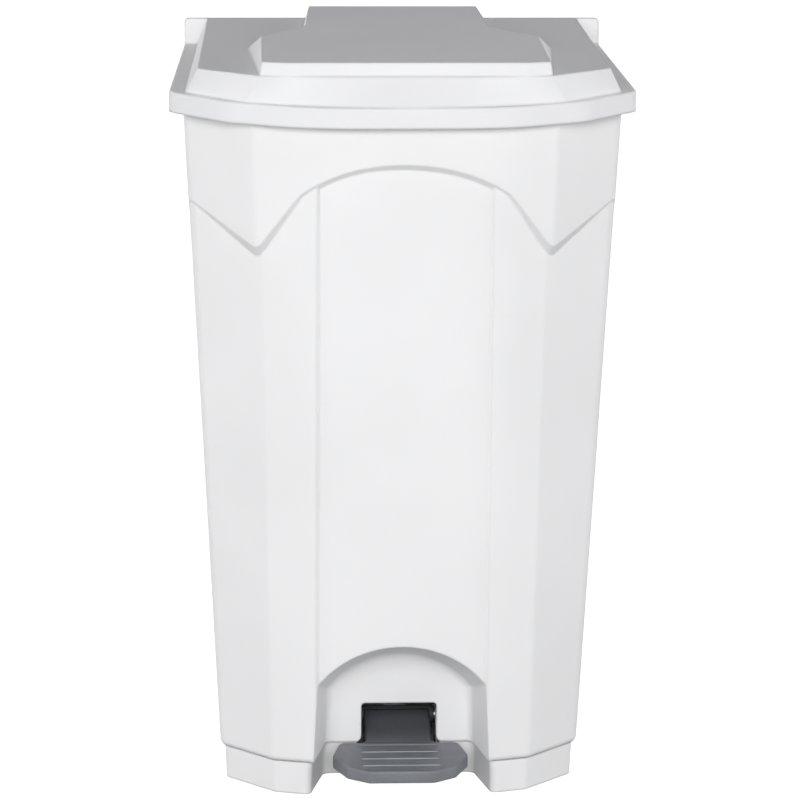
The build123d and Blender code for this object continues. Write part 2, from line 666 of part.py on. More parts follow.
# ---------------------------------------------------------------- pedal
BOSS_R = 10.0
BAR_HALF = 12.0
BAR_Z0 = LEVER_Z - 5.5
BAR_Z1 = LEVER_Z + 0.5
BAR_FRONT = PIVOT_Y - 46
LEVER_SCREW_Y = (PIVOT_Y - 38, PIVOT_Y - 22)


def tread():
    """Six-sided tread with a shallow dish and four ribs."""
    y0 = -LID_DEPTH / 2 + 4
    plan = [(-36, y0), (36, y0), (76, y0 + 42), (66, y0 + 87), (-66, y0 + 87), (-76, y0 + 42)]
    face = Face(Wire.make_polygon([Vector(x, y, 0) for x, y in plan], close=True))
    plate = extrude(face, amount=TREAD_THICK)
    plate = fillet(plate.edges().filter_by(Axis.Z), 7)
    plate = fillet(plate.edges().group_by(Axis.Z)[-1], 1.6)
    plate = chamfer(plate.edges().group_by(Axis.Z)[0], 2.0)
    dish_plan = [(x * 0.92, y0 + 44 + (y - y0 - 44) * 0.88) for x, y in plan]
    dish = extrude(Face(Wire.make_polygon([Vector(x, y, 0) for x, y in dish_plan], close=True)), amount=6)
    dish = fillet(dish.edges().filter_by(Axis.Z), 5)
    plate -= Pos(0, 0, TREAD_THICK - 1.0) * dish
    for row in range(4):
        y = y0 + 14 + row * 20
        plate += box(-44, 44, y - 0.9, y + 0.9, TREAD_THICK - 1.2, TREAD_THICK + 0.5)
    return Pos(0, 0, TREAD_Z - TREAD_THICK) * plate


def pedal_tread():
    y0 = -LID_DEPTH / 2 + 4 + 78
    neck = side_profile(
        [
            (y0, TREAD_Z - TREAD_THICK + 1),
            (y0, TREAD_Z - 0.4),
            (y0 + 14, TREAD_Z + 0.4),
            (PIVOT_Y - 22, PIVOT_Z + 2),
            (PIVOT_Y - 5, PIVOT_Z + BOSS_R - 1),
            (PIVOT_Y, PIVOT_Z + BOSS_R - 1),
            (PIVOT_Y, PIVOT_Z - BOSS_R + 1),
            (PIVOT_Y - 6, BAR_Z0),
            (PIVOT_Y - 50, BAR_Z0 - 1),
        ],
        -NECK_HALF,
        NECK_HALF,
    )
    boss = cylinder_x(BOSS_R, 2 - BEARING_X0, BEARING_X0 - 2, PIVOT_Y, PIVOT_Z)
    pedal = tread() + neck + boss
    pedal -= box(-BAR_HALF, BAR_HALF, BAR_FRONT, PIVOT_Y + 20, 0, BAR_Z1)
    pedal -= cylinder_x(AXLE_D / 2 + RUN_FIT, -60, 60, PIVOT_Y, PIVOT_Z)
    for y in LEVER_SCREW_Y:
        pedal -= Pos(0, y, BAR_Z1 + 3.5) * Cylinder(2.0, 7)
    return pedal


def lever_arm():
    """Steel bar with two cheeks for the rod's foot."""
    cheek_in, cheek_out = 5.5, 9.0
    bar = box(-BAR_HALF, BAR_HALF, BAR_FRONT, LEVER_Y - 16, BAR_Z0, BAR_Z1)
    arm = bar
    for sx in (-1, 1):
        a, b = sorted((sx * cheek_in, sx * cheek_out))
        arm += side_profile(
            [
                (LEVER_Y - 34, BAR_Z0),
                (LEVER_Y, LEVER_Z - 7),
                (LEVER_Y, LEVER_Z + 7),
                (LEVER_Y - 12, LEVER_Z + 7),
                (LEVER_Y - 34, BAR_Z1),
            ],
            a,
            b,
        )
        arm += cylinder_x(7, a, b, LEVER_Y, LEVER_Z)
    arm -= cylinder_x(LEVER_PIN_D / 2, -20, 20, LEVER_Y, LEVER_Z)
    for y in LEVER_SCREW_Y:
        arm -= Pos(0, y, LEVER_Z) * Cylinder(2.0, 30)
    return arm


def lever_screws():
    one = Rot(180, 0, 0) * screw(4.0, 2.6, 2.0, 12)
    return Compound(children=[Pos(0, y, BAR_Z0) * one for y in LEVER_SCREW_Y])


def lever_pin():
    return Pos(0, LEVER_Y, LEVER_Z) * grooved_pin(LEVER_PIN_D, 12.2, 9.2)


def lever_clips():
    return Pos(0, LEVER_Y, LEVER_Z) * clip_pair(LEVER_PIN_D, 9.2)


# ---------------------------------------------------------------- push rod
ROD_Z0 = LEVER_Z + 16
ROD_Z1 = CRANK_Z - 14
LINK_HALF = 4.0
FOOT_CLEAR = 1.2
HEAD_CLEAR = 0.9
HEAD_HALF = CRANK_R * (1 - math.cos(HALF_SWING)) / 2
SEAT = 0.02                     # radial room of a glued seat


def along_rod(z):
    """Place on the rod's centre line at height z, turned to its lean."""
    return Pos(0, rod_y(z), z) * Rot(-ROD_LEAN_DEG, 0, 0)


def push_rod():
    length = (ROD_Z1 - ROD_Z0) / math.cos(math.radians(ROD_LEAN_DEG))
    rod = along_rod((ROD_Z0 + ROD_Z1) / 2) * Cylinder(ROD_D / 2, length)
    return chamfer(rod.edges(), 0.5)


def rod_foot():
    """Eye fitting round the lever pin, with a socket for the rod."""
    reach = LEVER_PIN_D / 2 + FOOT_CLEAR
    y = rod_y(LEVER_Z)
    eye = cylinder_x(reach + 4, -LINK_HALF, LINK_HALF, y, LEVER_Z)
    stem = side_profile(
        [(y - 5, LEVER_Z + 4), (y + 5, LEVER_Z + 4), (y + 5.6, LEVER_Z + 34), (y - 4.4, LEVER_Z + 34)],
        -LINK_HALF,
        LINK_HALF,
    )
    collar = along_rod(LEVER_Z + 25) * Cylinder(5.5, 18)
    foot = eye + stem + collar - cylinder_x(reach, -20, 20, y, LEVER_Z)
    return foot - along_rod((ROD_Z0 + LEVER_Z + 50) / 2) * Cylinder(ROD_D / 2 + SEAT, LEVER_Z + 50 - ROD_Z0)


def rod_head():
    """Slotted fitting round the crank pin, with a socket for the rod."""
    reach = CRANK_PIN_D / 2 + HEAD_CLEAR
    y, z = ROD_TOP_Y, CRANK_Z
    outer = side_profile(
        [(y - HEAD_HALF, z - reach - 2.6), (y + HEAD_HALF, z - reach - 2.6),
         (y + HEAD_HALF, z + reach + 2.6), (y - HEAD_HALF, z + reach + 2.6)],
        -LINK_HALF, LINK_HALF,
    )
    slot = side_profile(
        [(y - HEAD_HALF, z - reach), (y + HEAD_HALF, z - reach), (y + HEAD_HALF, z + reach), (y - HEAD_HALF, z + reach)],
        -20, 20,
    )
    for side in (-1, 1):
        outer += cylinder_x(reach + 2.6, -LINK_HALF, LINK_HALF, y + side * HEAD_HALF, z)
        slot += cylinder_x(reach, -20, 20, y + side * HEAD_HALF, z)
    stem = side_profile(
        [(y - 4.8, z - 30), (y + 3.6, z - 30), (y + 4.6, z - 4), (y - 4.6, z - 4)], -LINK_HALF, LINK_HALF
    )
    collar = along_rod(z - 22) * Cylinder(5.5, 18)
    head = outer + stem + collar - slot
    return head - along_rod((ROD_Z1 + z - 50) / 2) * Cylinder(ROD_D / 2 + SEAT, ROD_Z1 - z + 50)


def rod_guide(z):
    """Saddle in the groove; the rod slides through it."""
    depth = GROOVE_DEPTH
    lift = depth - (rear_y(z) - rod_y(z))
    block = Pos(0, (lift + 6.5) / 2, 0) * Box(26, lift + 6.5, 16)
    block -= Pos(0, lift, 0) * Cylinder(ROD_D / 2 + 0.4, 30)
    for sx in (-1, 1):
        block -= Pos(sx * 9, 4 + lift, 0) * Box(9, 2 * lift, 30)
        block -= Pos(sx * 9, 0, 0) * Rot(90, 0, 0) * Cylinder(1.5, 30)
    return on_rear(z, depth) * block


def guide_screws():
    screws = []
    for z in GUIDE_HEIGHTS:
        for sx in (-1, 1):
            screws.append(on_rear(z, GROOVE_DEPTH) * Pos(sx * 9, 4, 0) * Rot(-90, 0, 0) * screw(3.0, 2.0, 1.5, 10.5))
    return Compound(children=screws)


# ---------------------------------------------------------------- lid
PLATEAU_HALF = 0.302 * LID_WIDTH
BLOCK_HALF = 0.19 * LID_WIDTH
FLANGE_Y0 = HINGE_Y - 12
FLANGE_Y1 = HINGE_Y - 7
FLANGE_HALF = 0.473 * LID_WIDTH


def plateau_face(z, spread, front, distance=0.0):
    """Plan of the plateau: wide part, then a narrow rear block; the sides spread to the rear."""
    y_wide = -0.03 * LID_DEPTH
    y_neck = 0.125 * LID_DEPTH
    rear = FLANGE_Y0 - 1
    points = [
        (PLATEAU_HALF - 24, front),
        (PLATEAU_HALF + spread * 0.2 - distance, front + 5),
        (PLATEAU_HALF + spread * 1.2 - 1 - distance, y_wide + spread * 0.3 - distance * 0.4),
        (BLOCK_HALF + 6 + spread * 0.5 - distance, y_neck + spread * 0.3 - distance * 0.6),
        (BLOCK_HALF + spread * 0.35 - distance, rear),
    ]
    ring = [(x, y) for x, y in points] + [(-x, y) for x, y in reversed(points)]
    return Face(Wire.make_polygon([Vector(x, y, z) for x, y in ring], close=True))


def lid_solid(distance):
    """Outside of the lid, or its hollow when set in by a wall."""
    d = distance
    base_z = LIP_Z - (1 if d else 0)
    lip_top = LEDGE_Z - d
    lip = loft(
        [
            plan_face(inset(LIP_PLAN, d) if d else LIP_PLAN, base_z, LID_RADII, d),
            plan_face(inset(LIP_PLAN, d + 0.4) if d else inset(LIP_PLAN, 0.4), lip_top, LID_RADII, d),
        ],
        ruled=True,
    )
    tray = loft(
        [
            plan_face(inset(TRAY_FOOT, d) if d else TRAY_FOOT, LEDGE_Z - 1 - d, TRAY_RADII, d * 0.5),
            plan_face(inset(TRAY_TOP, d) if d else TRAY_TOP, TRAY_Z - d, TRAY_RADII, d * 0.5),
        ],
        ruled=True,
    )
    top = loft(
        [
            plateau_face(TRAY_Z - 2 - d, PLATEAU_RISE, -LID_DEPTH / 2 + 25.5 + d, d),
            plateau_face(HEIGHT - d, 0.0, -LID_DEPTH / 2 + 28 + d, d),
        ],
        ruled=True,
    )
    return lip, tray, top


LID_RADII = (60.0, 26.0, 8.0)
TRAY_RADII = (10.0, 14.0, 4.0)


def lid_shell():
    lip, tray, top = lid_solid(0)
    lip = fillet(lip.edges().group_by(Axis.Z)[-1], 2.5)
    lip_in, tray_in, top_in = lid_solid(WALL)
    rear_cut = box(-LID_WIDTH, LID_WIDTH, FLANGE_Y1, LID_DEPTH, 0, 2 * HEIGHT)
    lip_rear = box(
        -LID_WIDTH, LID_WIDTH, FLANGE_Y0 - 4, LID_DEPTH, 0, LEDGE_Z - WALL
    )
    flange = box(-FLANGE_HALF, FLANGE_HALF, FLANGE_Y0, FLANGE_Y1, LEDGE_Z - WALL, TRAY_Z)
    flange = fillet(flange.edges().filter_by(Axis.Y).group_by(Axis.Z)[-1], 5)
    keep = box(-LID_WIDTH, LID_WIDTH, -LID_DEPTH, FLANGE_Y0 - WALL, 0, 2 * HEIGHT)
    shell = lip - rear_cut - lip_rear + tray + top + flange
    shell -= (lip_in & keep) + (tray_in & keep) + (top_in & keep)
    hollow = tray_in & keep
    pad = box(-22, 22, BRACKET_Y - 11, FLANGE_Y0, LEDGE_Z - WALL, TRAY_Z - WALL + 1)
    shell += pad
    for x in (-70, 70):
        rib = box(x - 1.2, x + 1.2, -LID_DEPTH / 2 + 40, FLANGE_Y0 - WALL, LEDGE_Z + 4, TRAY_Z) & (tray_in + top_in)
        shell += rib
    for sx in (-1, 1):
        x = sx * HINGE_X
        half = KNUCKLE_LENGTH / 2
        web = side_profile(
            [
                (FLANGE_Y1 - 1, LEDGE_Z - WALL),
                (FLANGE_Y1 - 1, LEDGE_Z + 16),
                (HINGE_Y + KNUCKLE_R * 0.85, HINGE_Z + KNUCKLE_R * 0.5),
                (HINGE_Y, HINGE_Z - 2),
                (HINGE_Y - 6.4, HINGE_Z + 3.2),
            ],
            x - half,
            x + half,
        )
        shell += web + cylinder_x(KNUCKLE_R, x - half, x + half, HINGE_Y, HINGE_Z)
        shell -= cylinder_x(HINGE_PIN_D / 2 + RUN_FIT, x - half - 1, x + half + 1, HINGE_Y, HINGE_Z)
    for sx in (-1, 1):
        shell -= Pos(sx * BRACKET_SCREW_X, BRACKET_Y, LEDGE_Z + 3.5) * Cylinder(1.7, 16)
    for x, y in BUFFER_PLACES:
        shell -= Pos(x, y, LEDGE_Z - WALL) * Cylinder(BUFFER_STUD_R, 2 * BUFFER_STUD)
    return shell


def rim_x(y):
    """Outside of the rim at depth y, on its straight side."""
    plan = body_plan(OUTER_TOP, RIM_Z)
    share = (y - plan[3][1]) / (plan[4][1] - plan[3][1])
    return plan[3][0] + (plan[4][0] - plan[3][0]) * share


BUFFER_R = 4.5
BUFFER_STUD = 2.2
BUFFER_STUD_R = 1.6
BUFFER_GAP = 0.4                # buffers stop this far over the rim
BUFFER_PLACES = [(sx * rim_x(y), y) for sx in (-1, 1) for y in (-0.16 * LID_DEPTH, 0.26 * LID_DEPTH)]


def lid_buffers():
    """Rubber buffers studded into the underside of the ledge, over the rim."""
    top, low = LEDGE_Z - WALL, RIM_Z + BUFFER_GAP
    pads = []
    for x, y in BUFFER_PLACES:
        pad = Pos(x, y, (top + low) / 2) * Cylinder(BUFFER_R, top - low)
        pad = chamfer(pad.edges().group_by(Axis.Z)[0], 0.8)
        pads.append(pad + Pos(x, y, top + BUFFER_STUD / 2) * Cylinder(BUFFER_STUD_R, BUFFER_STUD))
    return Compound(children=pads)


def hinge_pin(sx):
    reach = KNUCKLE_LENGTH / 2 + LUG_GAP + LUG_THICK
    x = sx * HINGE_X
    return cylinder_x(HINGE_PIN_D / 2, x - reach - 3.5, x + reach + 3.5, HINGE_Y, HINGE_Z)


def hinge_caps():
    caps = []
    reach = KNUCKLE_LENGTH / 2 + LUG_GAP + LUG_THICK
    for sx in (-1, 1):
        for side in (-1, 1):
            a = sx * HINGE_X + side * reach
            b = a + side * 5
            cap = cylinder_x(6, a, b, HINGE_Y, HINGE_Z)
            cap = chamfer(cap.edges().filter_by(GeomType.CIRCLE), 1.0)
            cap -= cylinder_x(HINGE_PIN_D / 2, a - side, a + side * 3.5, HINGE_Y, HINGE_Z)
            caps.append(cap)
    return Compound(children=caps)


# ---------------------------------------------------------------- lid bracket
def lid_bracket():
    top = LEDGE_Z - WALL
    plate = box(-21, 21, BRACKET_Y - 11, BRACKET_Y + 9, top - 2.5, top)
    bracket = plate
    for sx in (-1, 1):
        a, b = sorted((sx * 6.0, sx * 8.5))
        bracket += side_profile(
            [
                (BRACKET_Y - 8, top - 1),
                (BRACKET_Y + 7, top - 1),
                (CRANK_Y + 6, CRANK_Z),
                (CRANK_Y - 6, CRANK_Z),
            ],
            a,
            b,
        )
        bracket += cylinder_x(6, a, b, CRANK_Y, CRANK_Z)
    bracket -= cylinder_x(CRANK_PIN_D / 2, -20, 20, CRANK_Y, CRANK_Z)
    for sx in (-1, 1):
        bracket -= Pos(sx * BRACKET_SCREW_X, BRACKET_Y, top) * Cylinder(1.7, 20)
    return bracket


def bracket_screws():
    one = Rot(180, 0, 0) * screw(3.2, 1.6, 1.7, 12)
    place = LEDGE_Z - WALL - 2.5
    return Compound(children=[Pos(sx * BRACKET_SCREW_X, BRACKET_Y, place) * one for sx in (-1, 1)])


def crank_pin():
    return Pos(0, CRANK_Y, CRANK_Z) * grooved_pin(CRANK_PIN_D, 11.4, 8.7)


def crank_clips():
    return Pos(0, CRANK_Y, CRANK_Z) * clip_pair(CRANK_PIN_D, 8.7)


# ---------------------------------------------------------------- files
NODES = {
    "body_shell": body_shell,
    "base_tray": base_tray,
    "foot_pads": foot_pads,
    "base_screws": base_screws,
    "bearing_block_left": lambda: bearing_block(-1),
    "bearing_block_right": lambda: bearing_block(1),
    "bearing_screws": bearing_screws,
    "pedal_axle": pedal_axle,
    "axle_clips": axle_clips,
    "axle_washers": axle_washers,
    "pedal_tread": pedal_tread,
    "lever_arm": lever_arm,
    "lever_screws": lever_screws,
    "lever_pin": lever_pin,
    "lever_clips": lever_clips,
    "push_rod": push_rod,
    "rod_foot": rod_foot,
    "rod_head": rod_head,
    "rod_guide_lower": lambda: rod_guide(GUIDE_HEIGHTS[0]),
    "rod_guide_upper": lambda: rod_guide(GUIDE_HEIGHTS[1]),
    "guide_screws": guide_screws,
    "lid_shell": lid_shell,
    "lid_buffers": lid_buffers,
    "hinge_pin_left": lambda: hinge_pin(-1),
    "hinge_pin_right": lambda: hinge_pin(1),
    "hinge_caps": hinge_caps,
    "lid_bracket": lid_bracket,
    "bracket_screws": bracket_screws,
    "crank_pin": crank_pin,
    "crank_clips": crank_clips,
}

for name, make in NODES.items():
    shape = make()
    export_step(shape, f"parts/{name}.step")
    print(name, len(shape.solids()), round(shape.volume / 1000, 2), "cm3")
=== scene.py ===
# %% [markdown]
# # A pedal bin for the ward, dressed in Blender
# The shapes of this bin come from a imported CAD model: a tapering body on a plinth, a hinged lid, a
# pedal and a push rod up the back. This lesson gives them their looks. Everything is in metres, +Z up,
# and the front of the bin faces -Y. We start by loading the CAD model as a frame that never moves.

import json
import math

import bmesh
import bpy
import numpy as np
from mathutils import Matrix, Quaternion, Vector


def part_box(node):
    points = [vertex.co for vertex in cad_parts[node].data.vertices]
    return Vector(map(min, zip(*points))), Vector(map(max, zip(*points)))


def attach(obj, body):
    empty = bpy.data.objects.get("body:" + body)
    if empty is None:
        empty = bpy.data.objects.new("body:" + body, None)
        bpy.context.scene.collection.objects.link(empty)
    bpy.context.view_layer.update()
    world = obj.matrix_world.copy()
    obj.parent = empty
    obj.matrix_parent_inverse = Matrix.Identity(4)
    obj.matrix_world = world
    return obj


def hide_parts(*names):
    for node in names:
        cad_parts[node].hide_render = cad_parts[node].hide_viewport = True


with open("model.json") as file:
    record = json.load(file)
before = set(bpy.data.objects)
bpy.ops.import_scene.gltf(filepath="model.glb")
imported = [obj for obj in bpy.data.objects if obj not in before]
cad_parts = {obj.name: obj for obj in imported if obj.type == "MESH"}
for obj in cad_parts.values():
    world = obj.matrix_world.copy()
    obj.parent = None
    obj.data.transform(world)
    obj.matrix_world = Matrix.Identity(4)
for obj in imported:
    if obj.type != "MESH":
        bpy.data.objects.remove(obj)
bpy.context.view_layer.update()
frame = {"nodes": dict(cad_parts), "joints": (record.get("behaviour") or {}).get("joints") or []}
nodes = frame["nodes"]

# %% [markdown]
# ## The camera
# A product picture of a bin is taken from far away with a long lens, so that its upright edges stay
# nearly upright. We set the camera four metres off, a little to the left and above the lid, and aim it
# at the middle of the bin. A far camera with a long lens was chosen over a near one with a short lens
# because the lid's front edge would otherwise bulge. The tripod was a shade off level: `ROLL_DEG`.

# %% Camera
AIM = Vector((0.0036, 0.0, 0.4060))
DISTANCE = 4.0  # metres
AZIMUTH_DEG, ELEVATION_DEG, ROLL_DEG = -2.61, 15.61, 0.425
LENS_MM = 160.7


def direction(azimuth_deg, elevation_deg):
    """Unit vector from the bin towards a place at this azimuth and height angle; azimuth 0 is the front."""
    a, e = math.radians(azimuth_deg), math.radians(elevation_deg)
    return Vector((math.sin(a) * math.cos(e), -math.cos(a) * math.cos(e), math.sin(e)))


def aim(thing, place, target, roll_deg=0.0):
    """Puts a camera or light at a place, turns its -Z axis towards the target and rolls it about it."""
    thing.location = place
    thing.rotation_mode = "QUATERNION"
    turn = (target - place).to_track_quat("-Z", "Y")
    thing.rotation_quaternion = turn @ Quaternion((0, 0, 1), math.radians(roll_deg))


camera = bpy.data.objects.new("camera", bpy.data.cameras.new("camera"))
bpy.context.scene.collection.objects.link(camera)
camera.data.lens = LENS_MM
camera.data.sensor_width = 36.0
camera.data.clip_end = 60.0
aim(camera, AIM + direction(AZIMUTH_DEG, ELEVATION_DEG) * DISTANCE, AIM, ROLL_DEG)
bpy.context.scene.camera = camera
print("camera at", [round(c, 3) for c in camera.location])

# %% [markdown]
# ## The studio
# White plastic on a white floor needs care: with even light from everywhere it turns into a flat
# cut-out. So one broad soft box does nearly all the work. It stands in front, a little to the left, and
# about 20 degrees up: upright and sloping faces then come out almost white, while faces that look at the
# ceiling turn grey, which is what makes the lid readable. Two weak boxes at the sides open the shadows of
# the cut corners. Two low ones behind light the rear wall with its rod; they are kept out of reflections,
# or the lid would shine like glass from the front. The colours are shown plainly, with no film curve.

# %% Floor and lights
bpy.context.scene.view_settings.view_transform = "Standard"


def sheet_of(size, z):
    """A square floor: four corners at height z."""
    corners = np.array([(-1, -1), (1, -1), (1, 1), (-1, 1)]) * size / 2
    mesh = bpy.data.meshes.new("floor")
    mesh.from_pydata([(x, y, z) for x, y in corners], [], [(0, 1, 2, 3)])
    return mesh


floor = bpy.data.objects.new("floor", sheet_of(40.0, 0.0))
bpy.context.scene.collection.objects.link(floor)


def soft_box(name, place, target, width, height, watts):
    """A rectangular area light of a soft box's size."""
    lamp = bpy.data.lights.new(name, "AREA")
    lamp.shape, lamp.size, lamp.size_y, lamp.energy = "RECTANGLE", width, height, watts
    thing = bpy.data.objects.new(name, lamp)
    bpy.context.scene.collection.objects.link(thing)
    aim(thing, Vector(place), Vector(target))
    return thing


soft_box("front_box", (-0.35, -5.4, 2.7), (0, 0, 0.5), 4.2, 2.6, 256.0)
for name, x in (("left_box", -5.0), ("right_box", 5.0)):
    soft_box(name, (x, -1.6, 0.9), (0, 0, 0.5), 2.4, 1.7, 50.0)
for name, x in (("rear_left_box", -4.2), ("rear_right_box", 4.2)):
    rear = soft_box(name, (x, 3.6, 1.0), (0, 0, 0.45), 2.6, 1.8, 125.0)
    rear.visible_glossy = False

# %% [markdown]
# ## Shader sums written as Python
# A Blender material is a graph of small nodes. Drawing it by hand is slow to read, so we wrap a socket
# in a small class: adding, taking away or multiplying two wrapped sockets places the Math node for it,
# also when the plain number comes first, as in `1 - mask`. Every other node comes from one method,
# `node`, which takes the type, its settings, and what goes into its sockets.

# %% The two helpers
class Value:
    """A number that varies over a surface: a socket which can be used in sums."""

    def __init__(self, finish, socket):
        self.finish, self.socket = finish, socket

    def sum_node(self, operation, first, second):
        made = self.finish.node("Math", {"operation": operation}, {0: first, 1: second})
        return Value(self.finish, made.outputs[0])

    def __add__(self, other):
        return self.sum_node("ADD", self, other)

    def __radd__(self, other):
        return self.sum_node("ADD", other, self)

    def __sub__(self, other):
        return self.sum_node("SUBTRACT", self, other)

    def __rsub__(self, other):
        return self.sum_node("SUBTRACT", other, self)

    def __mul__(self, other):
        return self.sum_node("MULTIPLY", self, other)

    def __rmul__(self, other):
        return self.sum_node("MULTIPLY", other, self)


class Finish:
    """One material while it is being made."""

    def __init__(self, name, **constants):
        self.material = bpy.data.materials.new(name)
        self.material.use_nodes = True
        self.tree = self.material.node_tree
        self.shader = self.tree.nodes["Principled BSDF"]
        for key, number in constants.items():
            self.shader.inputs[key.replace("_", " ")].default_value = number

    def node(self, kind, settings=(), sockets=()):
        """Adds a node: its settings first, then a number, colour or link for each named socket."""
        made = self.tree.nodes.new("ShaderNode" + kind)
        for key, setting in dict(settings).items():
            setattr(made, key, setting)
        for key, given in dict(sockets).items():
            given = given.socket if isinstance(given, Value) else given
            if isinstance(given, bpy.types.NodeSocket):
                self.tree.links.new(given, made.inputs[key])
            else:
                made.inputs[key].default_value = given
        return made

    def place(self):
        """Object coordinates, which are metres in the bin's own frame."""
        return self.node("TexCoord").outputs["Object"]

    def along(self, axis):
        """Distance in metres along one axis: "Z" is the height over the floor, "Y" runs to the back."""
        return Value(self, self.node("SeparateXYZ", sockets={0: self.place()}).outputs[axis])

    def stretched(self, scale):
        """Object coordinates stretched along the axes, so a noise turns into a brushed grain."""
        return self.node("Mapping", sockets={"Vector": self.place(), "Scale": scale}).outputs[0]

    def noise(self, per_metre, detail=3.0, roughness=0.5, vector=None):
        """Soft random field from 0 to 1 with this many blobs in a metre."""
        sockets = {"Vector": vector or self.place(), "Scale": per_metre}
        sockets |= {"Detail": detail, "Roughness": roughness}
        return Value(self, self.node("TexNoise", {"noise_dimensions": "3D"}, sockets).outputs["Fac"])

    def between(self, value, low, high, out_low=0.0, out_high=1.0):
        """Carries a value from low..high to out_low..out_high, smoothly and no further."""
        sockets = {"Value": value, "From Min": low, "From Max": high, "To Min": out_low, "To Max": out_high}
        made = self.node("MapRange", {"interpolation_type": "SMOOTHSTEP"}, sockets)
        return Value(self, made.outputs[0])

    def mix(self, share, first, second):
        """Colour between two colours."""
        return self.node("Mix", {"data_type": "RGBA"}, {0: share, 6: first, 7: second}).outputs[2]

    def feed(self, **sockets):
        """Links varying values to the shader's sockets."""
        for key, given in sockets.items():
            given = given.socket if isinstance(given, Value) else given
            self.tree.links.new(given, self.shader.inputs[key.replace("_", " ")])

    def relief(self, height, depth, edge_radius):
        """Bump of this depth in metres over edges that are rounded by a radius in metres."""
        edge = self.node("Bevel", {"samples": 6}, {"Radius": edge_radius}).outputs[0]
        sockets = {"Height": height, "Distance": depth, "Strength": 1.0, "Normal": edge}
        bump = self.node("Bump", sockets=sockets)
        self.feed(Normal=bump.outputs[0])


# %% [markdown]
# ## Stage finishes
# A product studio lights its white backdrop apart from the object, so that the backdrop is clean and yet
# throws little light back. We do the same: the board and the dome look bright in the picture itself,
# which the Light Path node tells apart, and stay modest as sources of light. What is left of the board's
# own shading is a soft shadow under the bin.

# %% Floor and dome
board = Finish("floor_board", Roughness=0.9, Base_Color=(0.36, 0.36, 0.36, 1))
board.shader.inputs["Specular IOR Level"].default_value = 0.1
board.shader.inputs["Emission Strength"].default_value = 1.0
seen = board.node("LightPath").outputs["Is Camera Ray"]
board.feed(Emission_Color=board.mix(seen, (0.0, 0.0, 0.0, 1), (0.97, 0.97, 0.97, 1)))
floor.data.materials.append(board.material)

world = bpy.data.worlds.new("dome")
bpy.context.scene.world = world
world.use_nodes = True


class Dome(Finish):
    """The same helpers on the world's tree."""

    def __init__(self, made):
        self.tree = made.node_tree
        self.shader = self.tree.nodes["Background"]


dome = Dome(world)
look = dome.node("TexCoord").outputs["Generated"]
up = Value(dome, dome.node("SeparateXYZ", sockets={0: look}).outputs["Z"])
ceiling = dome.between(up, 0.15, 0.6)
glow = dome.mix(ceiling, (0.48, 0.48, 0.485, 1), (0.155, 0.155, 0.172, 1))
seen = dome.node("LightPath").outputs["Is Camera Ray"]
dome.feed(Color=dome.mix(seen, glow, (1.0, 1.0, 1.0, 1)))
print("dome and floor ready")

# %% [markdown]
# ## White polypropylene
# The body, the plinth and the lid are injection-moulded polypropylene. It is never pure white: there is
# a slight cloudiness from the melt, a fine satin grain from the etched mould, and, low down, the faint
# scuffs and dust of a bin that gets mopped around. We could paint these; instead noise fields of three
# sizes drive the colour, the roughness and a bump of less than a tenth of a millimetre. The corners of
# a moulding are never sharp, so the relief also rounds them.

# %% White finish
def white_plastic(name, tone, scuff_top, edge_radius):
    """Satin white plastic with rounded edges; scuffs fade out at the height scuff_top."""
    finish = Finish(name, IOR=1.49, Roughness=0.55, Specular_IOR_Level=0.22)
    cloud = finish.noise(5.0, 2.0)
    mottle = finish.noise(90.0, 4.0)
    low = 1 - finish.between(finish.along("Z"), 0.0, scuff_top)
    streak = finish.noise(34.0, 6.0, 0.7, finish.stretched((1.0, 1.0, 0.12)))
    scuff = finish.between(streak, 0.60, 0.78) * low
    warm = tuple(c * 0.965 for c in tone) + (1,)
    colour = finish.mix(finish.between(cloud, 0.3, 0.7), tone + (1,), warm)
    dusty = finish.mix(scuff * 0.35, colour, (0.60, 0.59, 0.57, 1))
    etched = finish.noise(1500.0, 2.0, 0.6)
    finish.feed(
        Base_Color=dusty,
        Roughness=finish.between(mottle, 0.2, 0.8, 0.50, 0.62) + scuff * 0.15,
    )
    finish.relief(etched + mottle * 0.6, 0.00007, edge_radius)
    return finish.material


body_white = white_plastic("body_white", (0.838, 0.838, 0.841), 0.22, 0.0038)
lid_white = white_plastic("lid_white", (0.795, 0.796, 0.806), 0.05, 0.0048)
print("white finishes ready")

# %% [markdown]
# ## Grey plastic, bearings, steel and rubber
# The pedal is moulded in a mid grey that hides shoe marks, and the marks are still there: paler rubbed
# patches on the tread and darker smudges. The neck behind the tread is painted darker from `TREAD_BACK_Y`
# to `NECK_DARK_Y`: painted shade standing in for the shade of the recess it climbs into. Bearings and
# guides are milky acetal. The axle, rod, bracket, lever and screws are zinc-plated steel with a faintly
# blue, cloudy plating and fine drawing lines. The pads under the base and the buffers under the lid are
# matt rubber.

# %% The other finishes
# Depths between which the neck gets painted shade: full grey in front, half the grey behind.
TREAD_BACK_Y, NECK_DARK_Y = -0.13, -0.08


